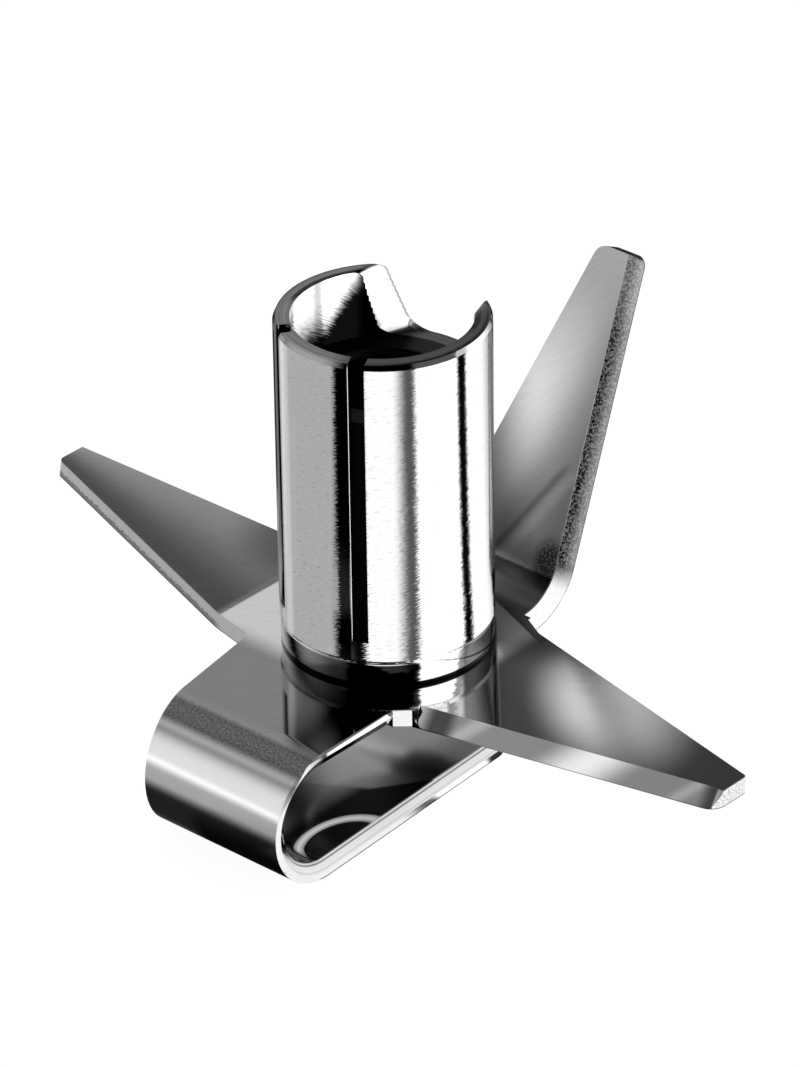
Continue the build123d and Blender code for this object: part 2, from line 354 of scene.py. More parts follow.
# fine strokes of a belt or a tool, and the few deeper dashes among them
def buildStrokes():
    inputs = {"Place": (0, 0, 0), "Turn": 0, "Length": 1, "Width": 0.1, "Start": 0}
    tree, given, result = newGroup("strokes", inputs, {"Grain": "Float", "Dashes": "Float"})
    turn = {"Vector": given["Place"], "Angle": given["Turn"]}
    turned = addNode(tree, "ShaderNodeVectorRotate", turn, rotation_type="Z_AXIS").outputs[0]
    lined = vectorCalc("DIVIDE", turned, join(given["Length"], given["Width"], given["Width"]))
    lined = vectorCalc("ADD", lined, join(given["Start"], given["Start"], 0.0))
    look = {"Vector": lined, "Scale": 1.0, "Detail": 3.0, "Roughness": 0.6}
    plug(result["Grain"], addNode(tree, "ShaderNodeTexNoise", look).outputs[0])
    look = {"Vector": vectorCalc("MULTIPLY", lined, (0.6, 0.9, 0.9)), "Scale": 1.0, "Detail": 1.0}
    sparse = addNode(tree, "ShaderNodeTexNoise", look).outputs[0]
    plug(result["Dashes"], ease(sparse, 0.64, 0.74))
    return tree


# leans the surface a little along two directions, as tool marks do
def buildLean():
    inputs = {
        "Normal": (0, 0, 1), "First Way": (1, 0, 0), "First Amount": 0,
        "Second Way": (0, 1, 0), "Second Amount": 0,
    }
    tree, given, result = newGroup("lean", inputs, {"Normal": "Vector"})
    total = given["Normal"]
    for key in ("First", "Second"):
        total = vectorCalc("ADD", total, scaled(given[key + " Way"], given[key + " Amount"]))
    plug(result["Normal"], vectorCalc("NORMALIZE", total))
    return tree


softBand, softSpot, strokes, lean = buildSoftBand(), buildSoftSpot(), buildStrokes(), buildLean()


def band(value, start, end, softness):
    given = {"Value": value, "From": start, "To": end, "Softness": softness}
    return useGroup(softBand, given)["Mask"]


def spot(place, centre, size, softness):
    given = {"Place": place, "Centre": centre, "Size": size, "Softness": softness}
    return useGroup(softSpot, given)["Mask"]


def lay(place, turn, length, width, start):
    given = {"Place": place, "Turn": turn, "Length": length, "Width": width, "Start": start}
    return useGroup(strokes, given)


def leanBy(normal, firstWay, firstAmount, secondWay, secondAmount):
    given = {
        "Normal": normal, "First Way": firstWay, "First Amount": firstAmount,
        "Second Way": secondWay, "Second Amount": secondAmount,
    }
    return useGroup(lean, given)["Normal"]


# a patch's mask. Along each way that it names, two numbers are where it starts and where it
# is whole, and three are a band's two sides and its softness; a spot is an oval
def patch(at, given):
    masks = []
    for way, limits in given.items():
        if way == "spot":
            masks.append(spot(at["place"], *limits))
        elif way != "tone":
            masks.append((ease if len(limits) == 2 else band)(at[way], *limits))
    return times(*masks)


# the tone, brought to the patch's own factor of it where the patch is
def shaded(tone, at, given, *masks):
    return toned(tone, times(patch(at, given), *masks), given["tone"])


# patches added up, each by its own amount
def addedUp(at, parts):
    total = 0.0
    for given, amount in parts:
        total = timesPlus(patch(at, given), amount, total)
    return total


def newMetal(name):
    material = bpy.data.materials.new(name)
    material.use_nodes = True
    shader = material.node_tree.nodes["Principled BSDF"]
    shader.inputs["Metallic"].default_value = 1
    return material, material.node_tree, shader.inputs


wrap = {"seam": 75, "radius": 5.5}  # the strokes are wrapped on a tube, joined behind the hub


# place on a turned piece in mm (round, up, out), its angle in degrees, and the ways out and round
def turnedPlace(tree):
    place = scaled(addNode(tree, "ShaderNodeTexCoord").outputs["Object"], 1 / mm)
    x, y, z = split(place)
    turn, angle = angleRound(x, y, wrap["seam"] - 180)
    out = vectorCalc("NORMALIZE", join(x, y, 0.0))
    outX, outY, _ = split(out)
    radius = vectorCalc("LENGTH", join(x, y, 0.0))
    normal = addNode(tree, "ShaderNodeNewGeometry").outputs["Normal"]
    return {
        "angle": angle, "height": z, "radius": radius,
        "unrolled": join(times(turn, wrap["radius"]), z, radius),
        "out": out, "round": join(times(outY, -1.0), outX, 0.0),
        "normal": normal, "upward": split(normal)[2],
    }


# Sleeve: a polished tube with two slots and a wide notch in its rim
sleeve = {
    "radius": 5.5, "bore": 4.63, "foot": 1.43, "rim": 18.45,
    "footChamfer": 0.12, "rimChamferWidth": 0.12, "rimChamferHeight": 0.25,
    "clock": -92.6, "slotSpread": 30.1, "slotWidth": 0.85, "slotFoot": 2.6,
    "notchAngle": 97.0, "notchFloor": 14.75, "cutReach": 1.8, "cutOver": 0.6,
    "notchOuter": (2.81, 1.49), "notchOuterRounds": (0.8, 1.2, 1.2, 1.7),
    "notchInnerAt": 2.8, "notchInner": (3.5, 3.28), "notchInnerRounds": (0.3, 0.35, 0.35, 0.6),
    "stepsRound": 289, "notchSteps": 8, "edge": 0.1, "closest": 0.03,
    # which way a face looks
    "outside": (0.3, 0.6), "inside": (0.86, 0.95), "level": (0.6, 0.9),
    # strokes: slant, length, width, start
    "strokes": (-0.3, 0.34, 0.055, 3.1), "boreStrokes": (-0.5, 0.9, 0.07, 5.0),
    "rimStrokes": (0.0, 30.0, 0.11, 8.0),
    "swing": 0.128, "swingLower": 0.112, "swingUp": 0.3, "lower": {"height": (19.0, 1.0)},
    "footLean": 12, "footRub": {"height": (5.4, 1.6)},
    "boreFlare": 33, "boreRough": 0.4, "boreSwing": 0.2,
    "wornEdge": {"radius": (5.1, 5.5)}, "wornLean": 0.9,
    "notchHighlight": {"angle": (-250.0, -215.0, 2.0), "height": (15.0, 15.5), "upward": (0.95, 0.8)},
    "notchHighlightWay": (0.73, -0.28, 0.63), "notchHighlightLean": 6.0, "notchHighlightTone": 0.95,
    "notchEdgeShade": {"radius": (5.25, 5.5), "tone": 0.13},
    "polish": 0.72, "grainTone": 0.35, "dashTone": -0.3,
    "highlightStrip": {"angle": (-115.0, -108.0, 2.0)}, "highlightStripTone": 0.28,
    "leftSideShade": {"angle": (-115.5, -118.5), "height": (1.5, 7.0), "tone": 0.4},
    "lineRough": 9.0,
    "besideSlot": {"lineAngle": (-74.3, -60.0, 0.8), "angle": (-67.3, -67.9), "tone": 0.04},
    "chamfer": {"height": (18.2, 18.6, 0.02)}, "chamferRough": 8.0,
    "chamferFront": {"chamferAngle": (-72.0, -6.0, 1.5)}, "chamferLeft": {"angle": (-68.0, -72.0)},
    "chamferTones": (0.75, 0.03, 0.3),  # on the right, in front, on the left
    "rimShadedTone": 0.19, "rimGrain": 0.4, "rimRight": {"angle": (-82.0, -62.0), "tone": 0.3},
    "rimInner": {"radius": (5.0, 4.86), "height": (18.0, 18.2), "tone": 0.03},
    "behindLeft": {"angle": (-150.0, -165.0)}, "behindRight": {"angle": (10.0, 25.0)},
    "notchFloorShade": {"height": (15.2, 14.9), "tone": 0.4},
    "boreTone": 0.9, "boreDark": 0.002, "boreRagged": 1.8, "shadeTop": 16.4, "shadeRise": 2.0,
    "besideNotch": {"angle": (-188.0, -215.0)}, "shadeEdge": (-1.2, 1.0),
    "inSlotShade": {"angle": (-150.0, -40.0, 2.0), "radius": (5.42, 5.32), "height": (18.3, 18.2), "tone": 0.03},
    "gloss": 0.05, "notchGloss": 0.12, "rimGloss": 0.3, "boreGloss": 0.14,
}


def sleeveMetal(s):
    material, tree, metal = newMetal("sleeveSteel")
    at = turnedPlace(tree)
    facing = vectorCalc("DOT_PRODUCT", at["normal"], at["out"])
    outside = ease(facing, *s["outside"])
    inside = ease(times(facing, -1.0), *s["inside"])
    level = ease(at["upward"], *s["level"])
    cutFace = times(minus(1.0, outside), minus(1.0, inside))

    strokesHere = lay(at["unrolled"], *s["strokes"])
    ragged = minus(strokesHere["Grain"], 0.5)
    boreRagged = minus(lay(at["unrolled"], *s["boreStrokes"])["Grain"], 0.5)
    reach = timesPlus(patch(at, s["lower"]), s["swingLower"], s["swing"])
    swing = times(ragged, reach, outside)
    # the mouth of the bore opens upwards a little, rougher than the outside
    flare = timesPlus(boreRagged, s["boreRough"], math.tan(math.radians(s["boreFlare"])))
    # rubbed a little round towards its foot
    foot = times(patch(at, s["footRub"]), math.tan(math.radians(s["footLean"])), outside)
    sideways = timesPlus(times(boreRagged, inside), s["boreSwing"], swing)
    upwards = timesPlus(flare, inside, timesPlus(swing, s["swingUp"], foot))
    leant = leanBy(at["normal"], at["round"], sideways, (0, 0, 1), upwards)
    # the notch's faces turn over softly at their outer edge; its left one leans to mirror the bright board
    worn = times(patch(at, s["wornEdge"]), cutFace, s["wornLean"])
    notchHighlight = times(cutFace, patch(at, s["notchHighlight"]))
    notchHighlightLean = times(notchHighlight, s["notchHighlightLean"])
    plug(metal["Normal"], leanBy(leant, at["out"], worn, s["notchHighlightWay"], notchHighlightLean))

    body = timesPlus(ragged, s["grainTone"], s["polish"])
    body = timesPlus(strokesHere["Dashes"], s["dashTone"], body)
    # painted highlight: a lighter strip down the tube's left side
    body = timesPlus(patch(at, s["highlightStrip"]), s["highlightStripTone"], body)
    # painted shade: the tube is darker low on its left
    body = shaded(body, at, s["leftSideShade"])
    # painted highlight on the notch's left face, with painted shade along its outer edge
    body = blendValues(notchHighlight, body, s["notchHighlightTone"])
    body = shaded(body, at, s["notchEdgeShade"], notchHighlight)
    # painted shade: a dark ragged line beside the slot
    at["lineAngle"] = timesPlus(ragged, s["lineRough"], at["angle"])
    body = shaded(body, at, s["besideSlot"])
    # painted reflection on the rim's chamfer: black in front, grey on the left, bright on the right
    at["chamferAngle"] = timesPlus(ragged, s["chamferRough"], at["angle"])
    rightTone, frontTone, leftTone = s["chamferTones"]
    chamferTone = blendValues(patch(at, s["chamferFront"]), rightTone, frontTone)
    chamferTone = blendValues(patch(at, s["chamferLeft"]), chamferTone, leftTone)
    body = blendValues(times(patch(at, s["chamfer"]), outside), body, chamferTone)
    # painted shade: the faces that look up, the rim's top, are darker than the tube, and darker still on
    # the right
    rings = minus(lay(at["unrolled"], *s["rimStrokes"])["Grain"], 0.5)
    rimShadedTone = shaded(timesPlus(rings, s["rimGrain"], s["rimShadedTone"]), at, s["rimRight"])
    # painted shade: its inner edge is dark behind, and the notch's floor is darker
    behind = calc("MAXIMUM", patch(at, s["behindLeft"]), patch(at, s["behindRight"]))
    rimShadedTone = shaded(rimShadedTone, at, s["rimInner"], behind)
    rimShadedTone = shaded(rimShadedTone, at, s["notchFloorShade"])
    tone = blendValues(level, body, rimShadedTone)
    # shaded deep in the bore, and further up beside the notch
    shadeTop = timesPlus(patch(at, s["besideNotch"]), s["shadeRise"], s["shadeTop"])
    roughHeight = timesPlus(boreRagged, s["boreRagged"], at["height"])
    bright = ease(minus(roughHeight, shadeTop), *s["shadeEdge"])
    bright = timesPlus(bright, 1.0 - s["boreDark"], s["boreDark"])
    tone = blendValues(inside, tone, times(bright, s["boreTone"]))
    # painted shade: inside the slots it stays dark
    plug(metal["Base Color"], shaded(tone, at, s["inSlotShade"], cutFace))

    gloss = blendValues(minus(1.0, outside), s["gloss"], s["notchGloss"])
    gloss = blendValues(level, gloss, s["rimGloss"])
    plug(metal["Roughness"], blendValues(inside, gloss, s["boreGloss"]))
    return material


# the notch's cutter, lofted between its outlines outside the wall and inside it
def notchCutter(s):
    rings = []
    for distance, (rimHalf, floorHalf), rounds in (
        (s["radius"], s["notchOuter"], s["notchOuterRounds"]),
        (s["notchInnerAt"], s["notchInner"], s["notchInnerRounds"]),
    ):
        reach = rimHalf + s["cutReach"]
        half = ((-reach, s["rim"]), (-rimHalf, s["rim"]), (-floorHalf, s["notchFloor"]))
        corners = half + tuple((-across, height) for across, height in reversed(half))
        run = roundedRun(corners, rounds, s["notchSteps"])
        run += [(reach, s["rim"] + 1), (-reach, s["rim"] + 1)]
        rings.append([Vector((across, distance, height)) for across, height in run])
    outer, inner = rings
    span = s["radius"] - s["notchInnerAt"]
    points = []
    # carried on past both faces of the wall
    for over, base in ((s["cutOver"], outer), (-s["cutOver"], inner)):
        for near, far, start in zip(outer, inner, base):
            points.append((start + (near - far) / span * over) * mm)
    count = len(outer)
    faces = [tuple(range(count)), tuple(range(2 * count - 1, count - 1, -1))]
    faces += [(i, i + count, (i + 1) % count + count, (i + 1) % count) for i in range(count)]
    mesh = bpy.data.meshes.new("notchCutter")
    mesh.from_pydata(points, [], faces)
    mesh.transform(Matrix.Rotation(math.radians(s["notchAngle"] - 90), 4, "Z"))
    rework(mesh, lambda work: bmesh.ops.recalc_face_normals(work, faces=work.faces))
    return makeObject("notchCutter", mesh)


sleeveSteel = sleeveMetal(sleeve)
cutter = notchCutter(sleeve)
bore, radius, foot, rim = (sleeve[key] for key in ("bore", "radius", "foot", "rim"))
sleeveProfile = [
    (bore, foot),
    (radius - sleeve["footChamfer"], foot),
    (radius, foot + sleeve["footChamfer"]),
    (radius, rim - sleeve["rimChamferHeight"]),
    (radius - sleeve["rimChamferWidth"], rim),
    (bore, rim),
    (bore, foot),
]
hubSleeve = turnedPiece("hubSleeve", sleeveProfile, sleeveSteel, {
    "Steps Round": sleeve["stepsRound"],
    "Cut Away": cutter,
    "Slots": 2,
    "Slot Width": sleeve["slotWidth"] * mm,
    "Slot Depth": 3 * (radius - bore) * mm,
    "Slot Foot": sleeve["slotFoot"] * mm,
    "Slot Head": (rim + 1) * mm,
    "Slot Radius": (radius + bore) / 2 * mm,
    "First Slot": math.radians(sleeve["clock"] - sleeve["slotSpread"]),
    "Slot Spacing": math.radians(2 * sleeve["slotSpread"]),
})
bpy.data.objects.remove(cutter)
rework(hubSleeve.data, mergeClose(sleeve["closest"]))
roundEdges(hubSleeve, sleeve["edge"], 3, 20)
wear(hubSleeve, sleeveSteel)
print("sleeve turned:", len(hubSleeve.data.polygons), "faces")

# Core: the collar under the sleeve, the body inside it with the shaft socket, and the
# tenon through the blade with its head below
core = {
    "collarRadius": 5.46, "collarTop": 1.43, "collarRound": 0.14, "bodyRadius": 4.63, "top": 14.75,
    "socketRadius": 3.0, "socketChamfer": 0.3, "tenonRadius": 3.6,
    "sheet": 1.0, "headRadius": 4.4, "headHeight": 0.7, "headEdge": 0.35,
    "stepsRound": 193, "edge": 0.04,
    "collarTone": 0.62, "collarGloss": 0.07, "bodyShadeTone": 0.004, "bodyGloss": 0.5,
    "headTone": 0.5, "headGloss": 0.3,
    "inSleeve": {"height": (1.41, 1.45)}, "below": {"height": (-0.5, -0.6)},
    "strokes": (-0.1, 1.2, 0.08, 1.7), "grainTone": 0.2, "angleRough": 6.0, "lean": (0.15, 0.05),
    # painted shade on the collar, black in front and less on the left and the right, and a dark line along
    # its foot
    "collarShadeAndFootLine": (
        {"angle": (-88.0, -68.0, 12.0), "tone": 0.25},
        {"roughAngle": (-70.0, -31.0, 1.0), "height": (1.31, 1.26), "tone": 0.03},
        {"roughAngle": (-5.0, -2.0), "tone": 0.4},
        {"angle": (2.0, 28.0), "tone": 0.3},
        {"height": (0.27, 0.2), "tone": 0.002},
    ),
}


def coreMetal(s):
    material, tree, metal = newMetal("coreSteel")
    at = turnedPlace(tree)
    inSleeve, below = patch(at, s["inSleeve"]), patch(at, s["below"])
    ragged = minus(lay(at["unrolled"], *s["strokes"])["Grain"], 0.5)
    at["roughAngle"] = timesPlus(ragged, s["angleRough"], at["angle"])
    collar = timesPlus(ragged, s["grainTone"], s["collarTone"])
    # painted shade on the collar, and its dark foot line
    for given in s["collarShadeAndFootLine"]:
        collar = shaded(collar, at, given)
    tone = blendValues(below, collar, s["headTone"])
    # painted shade: the body inside the sleeve is near black
    plug(metal["Base Color"], blendValues(inSleeve, tone, s["bodyShadeTone"]))
    gloss = blendValues(below, s["collarGloss"], s["headGloss"])
    plug(metal["Roughness"], blendValues(inSleeve, gloss, s["bodyGloss"]))
    sideways, upwards = (times(ragged, amount) for amount in s["lean"])
    plug(metal["Normal"], leanBy(at["normal"], at["round"], sideways, (0, 0, 1), upwards))
    return material


coreSteel = coreMetal(core)
under, head, headEdge = -core["sheet"], core["headRadius"], core["headEdge"]
headFoot = under - core["headHeight"]
collar, top, rounding = core["collarRadius"], core["collarTop"], core["collarRound"]
coreProfile = [
    (0, headFoot),
    (head - headEdge, headFoot),
    (head, headFoot + headEdge),
    (head, under),
    (core["tenonRadius"], under),
    (core["tenonRadius"], 0),
    (collar, 0),
    # the collar's top is rounded in three steps
    (collar, top - rounding),
    (collar - 0.13 * rounding, top - 0.5 * rounding),
    (collar - 0.5 * rounding, top - 0.13 * rounding),
    (collar - rounding, top),
    (core["bodyRadius"], top),
    (core["bodyRadius"], core["top"]),
    (core["socketRadius"] + core["socketChamfer"], core["top"]),
    (core["socketRadius"], core["top"] - core["socketChamfer"]),
    (core["socketRadius"], 0),
    (0, 0),
]
hubCore = turnedPiece("hubCore", coreProfile, coreSteel, {"Steps Round": core["stepsRound"]})
roundEdges(hubCore, core["edge"], 2, 30)
wear(hubCore, coreSteel)
print("core turned:", len(hubCore.data.polygons), "faces")

# Blade: one stamped and bent sheet, from the CAD solid, with its edges just broken.
# Its patches lie in the flat sheet, in mm; depth is 0 on the top face, -1 on the underside
blade = {
    "edge": 0.03, "closest": 0.001, "flattest": 0.5,
    "shallowStart": 7.548, "shallowRadius": 3.0, "shallowAngle": 9.6,
    "steepStart": 5.802, "steepRadius": 2.75, "steepAngle": 64.0,
    "foldStart": -10.65, "foldRadius": 3.69, "underFold": -1.6,
    # slanting ways over the sheet, each of x and y
    "ways": {
        "rightward": (0.743, 0.669), "shadeward": (0.74, 0.67), "rootward": (1.6, 1.0),
        "bendward": (0.38, 1.0), "acrossCrease": (0.876, -0.483),
        "alongGlow": (0.78, -0.62), "acrossGlow": (0.62, 0.78),
    },
    "beltTurn": -41.0, "belt": (2.2, 0.12, 2.0), "pitScale": 8.5,  # strokes: length, width, start
    "masks": {
        "flatArm": {"x": (6.0, 7.0)}, "steepArm": {"y": (7.0, 9.0)}, "shallowArm": {"x": (-7.6, -8.2)},
        "top": {"depth": (-0.08, -0.03)}, "aboveBelly": {"depth": (-0.999, -0.985)},
        "frontHalf": {"x": (0.0, 1.0)}, "clearOfHub": {"rightward": (5.4, 5.65)},
        "rightOfHub": {"x": (3.0, 3.6)}, "folded": {"y": (-10.8, -11.4)},
    },
    "polish": 0.66, "grainTone": 0.22, "foldGrainTone": 0.05, "foldGrain": {"y": (-11.0, -12.0)},
    "near": {"y": (-11.6, -5.0, 1.0), "tone": 0.35},
    "hubFrontShade": {"shadeward": (-4.96, -0.26, 0.5), "y": (-4.0, -5.0), "tone": 0.3},
    "behindHub": {"spot": ((4.0, 5.0, 0), (4.5, 3.0, 9), 0.4), "tone": 0.26},
    "hubMirrorShade": (
        {"rightward": (3.6, 3.9), "tone": 0.27}, {"rightward": (4.0, 5.2), "tone": 0.45},
    ),
    "hubLine": {"rightward": (5.28, 5.52, 0.07)}, "hubLineTone": 0.1,
    "shallowHalf": (6.03, 0.2223), "shallowAcross": (-0.9, 0.9), "shallowTone": (0.72, 0.25),
    "shallowBend": {"spot": ((-9.0, 3.6, 0), (3.2, 3.0, 9), 0.5), "tone": 0.45},
    "flatStart": {"x": (5.2, 6.6)}, "flatGlow": ((9.5, 9.9, 0), (4.4, 2.7, 9), 0.75),
    "flatTone": (1.25, 0.1),
    "steepGlow": {"spot": ((1.0, 14.8, 0), (4.2, 5.5, 30), 0.8)}, "steepTone": (0.6, 0.55),
    "steepRoot": {"rootward": (9.6, 17.6)}, "rootTone": (0.8, 0.2),
    "creases": (
        {"y": (14.6, 13.4), "acrossCrease": (-4.3, -3.95, 0.16), "tone": 0.6},
        {"y": (14.6, 13.4), "acrossCrease": (-3.75, -3.2, 0.25), "tone": 1.3},
    ),
    "scuff": {"spot": ((3.7, 9.1, 0), (0.9, 1.1, 9), 0.5), "pits": (0.3, 0.5), "tone": 0.15},
    "bendRough": 0.15,
    "bend": {"bendward": (6.65, 6.8), "bendEnd": (8.5, 8.3), "x": (7.0, 6.4), "tone": 0.13},
    "cutEdge": {"depth": (-0.002, -0.012)}, "pitted": {"y": (8.0, 9.3)},
    # how much each of these adds to the pitted edge's tone
    "pitTones": (
        ({"depth": (-0.2, -1.0)}, 0.17), ({"pits": (0.4, 0.65)}, 0.11), ({"y": (21.0, 24.0)}, 0.06),
    ),
    "tipEnd": {"upward": (0.55, 0.7), "y": (20.0, 21.0), "tone": 0.03},
    "tornRough": 0.6, "torn": {"tornDepth": (-0.3, -0.4), "tone": 0.4},
    "slantedBy": -1.1,
    "bevelGlints": (
        ({"slanted": (14.5, 17.3, 1.3)}, 1.0), ({"slanted": (9.0, 9.9, 0.4)}, 0.3),
        ({"slanted": (21.1, 21.6, 0.5)}, 0.35),
    ),
    "bevelGlintTone": (0.44, 0.42), "bevelGlintRun": {"x": (8.0, 21.7, 0.4)}, "bevelGlintEnds": 0.25,
    "ground": {"y": (1.0, 0.0), "x": (22.35, 22.25)}, "groundLean": -0.13,
    "shearLines": (({"depth": (-0.86, -0.78, 0.03)}, 1.0), ({"depth": (-0.5, -0.46, 0.03)}, 0.4)),
    "shorn": {"y": (-17.0, -20.0), "tone": 0.3}, "shornGlossy": {"y": (-17.0, -19.0)},
    "flatEnd": {"x": (22.3, 22.5)}, "flatEndTone": (1.2, 0.1),
    "aboveFoot": {"depth": (-0.9995, -0.997)},
    "rimLine": {"depth": (-0.92, -0.96), "y": (-8.0, -7.0), "tone": 0.3},
    "footLine": {"depth": (-0.07, -0.003, 0.002), "y": (-18.0, -19.0), "tone": 0.15},
    "stretched": {"y": (-13.0, -11.25, 0.4)}, "stretchedShare": 0.95,
    "stretchedPits": {"pits": (0.3, 0.7)}, "stretchedTone": (0.075, 0.025),
    "withinFold": {"depth": (-0.9, -0.97), "x": (-4.0, -3.0)},
    "foldWall": {"y": (-22.0, -17.0, 0.5), "tone": 0.04}, "foldFloor": {"y": (-21.2, -21.8)},
    # the shade's edge on the fold's floor: a line over x that bends up further on
    "foldBack": -32.89, "lineSlope": 0.6, "lineStart": -5.75, "lineBend": 2.5, "lineBent": 0.9,
    "foldDark": {"overLine": (0.25, -0.25), "x": (1.2, 2.4), "tone": 0.05},
    "fading": {"overLine": (-0.25, 0.25)},
    "fades": (
        {"back": (-2.6, 0.4), "tone": 0.4}, {"x": (1.0, 3.6), "tone": 0.5},
        {"back": (-1.5, -2.5), "tone": 1.45},
    ),
    "arcAt": (5.0, -9.0, 0.0), "arcSize": (2.05, 2.8, 1.0), "arc": {"fromArc": (0.9, 1.08, 0.13)},
    "arcTone": 0.5, "arcGloss": 0.25, "arcLean": 1.7,
    "platGloss": 0.06, "armGloss": 0.28, "flatGloss": 0.21, "foldGloss": 0.15, "inFoldGloss": 0.12,
    "dullGloss": 0.4, "shornGloss": 0.35,
    "outsideFold": {"depth": (-0.6, -0.4)}, "insideFold": {"depth": (-0.9, -0.99)},
    "beltWay": (0.67, -0.74, 0), "beltLean": (0.03, 0.006),
    "shoulder": {"y": (-16.0, -10.6, 0.6)}, "shoulderLean": 0.25,
    "corner": {"y": (4.6, 9.0, 0.4), "x": (6.4, 6.1)}, "cornerWay": (1, 0.05, 0), "cornerLean": 5.0,
}


# a point beyond a bend, laid back into the flat sheet: (distance out, height in the sheet)
def laidFlat(out, height, start, radius, degrees):
    beyond, below, angle = out - start, radius - height, math.radians(degrees)
    if beyond <= 0:
        return out, height
    turned = math.atan2(beyond, below)
    if turned < angle:
        return start + radius * turned, radius - math.hypot(beyond, below)
    along = beyond * math.cos(angle) - below * math.sin(angle)
    depth = beyond * math.sin(angle) + below * math.cos(angle)
    return start + radius * angle + along, radius - depth


# each point's place in the flat sheet in mm: x, y and depth
def placeInSheet(point, s):
    x, y, z = point / mm
    if y < s["foldStart"] or z < s["underFold"]:
        beyond = s["foldStart"] - y
        if beyond > 0:
            turned = math.atan2(beyond, z + s["foldRadius"])
            depth = math.hypot(beyond, z + s["foldRadius"]) - s["foldRadius"]
            return x, s["foldStart"] - s["foldRadius"] * turned, depth
        return x, s["foldStart"] - s["foldRadius"] * math.pi + beyond, -2 * s["foldRadius"] - z
    if x < -s["shallowStart"]:
        out, z = laidFlat(-x, z, s["shallowStart"], s["shallowRadius"], s["shallowAngle"])
        return -out, y, z
    if y > s["steepStart"]:
        y, z = laidFlat(y, z, s["steepStart"], s["steepRadius"], s["steepAngle"])
    return x, y, z


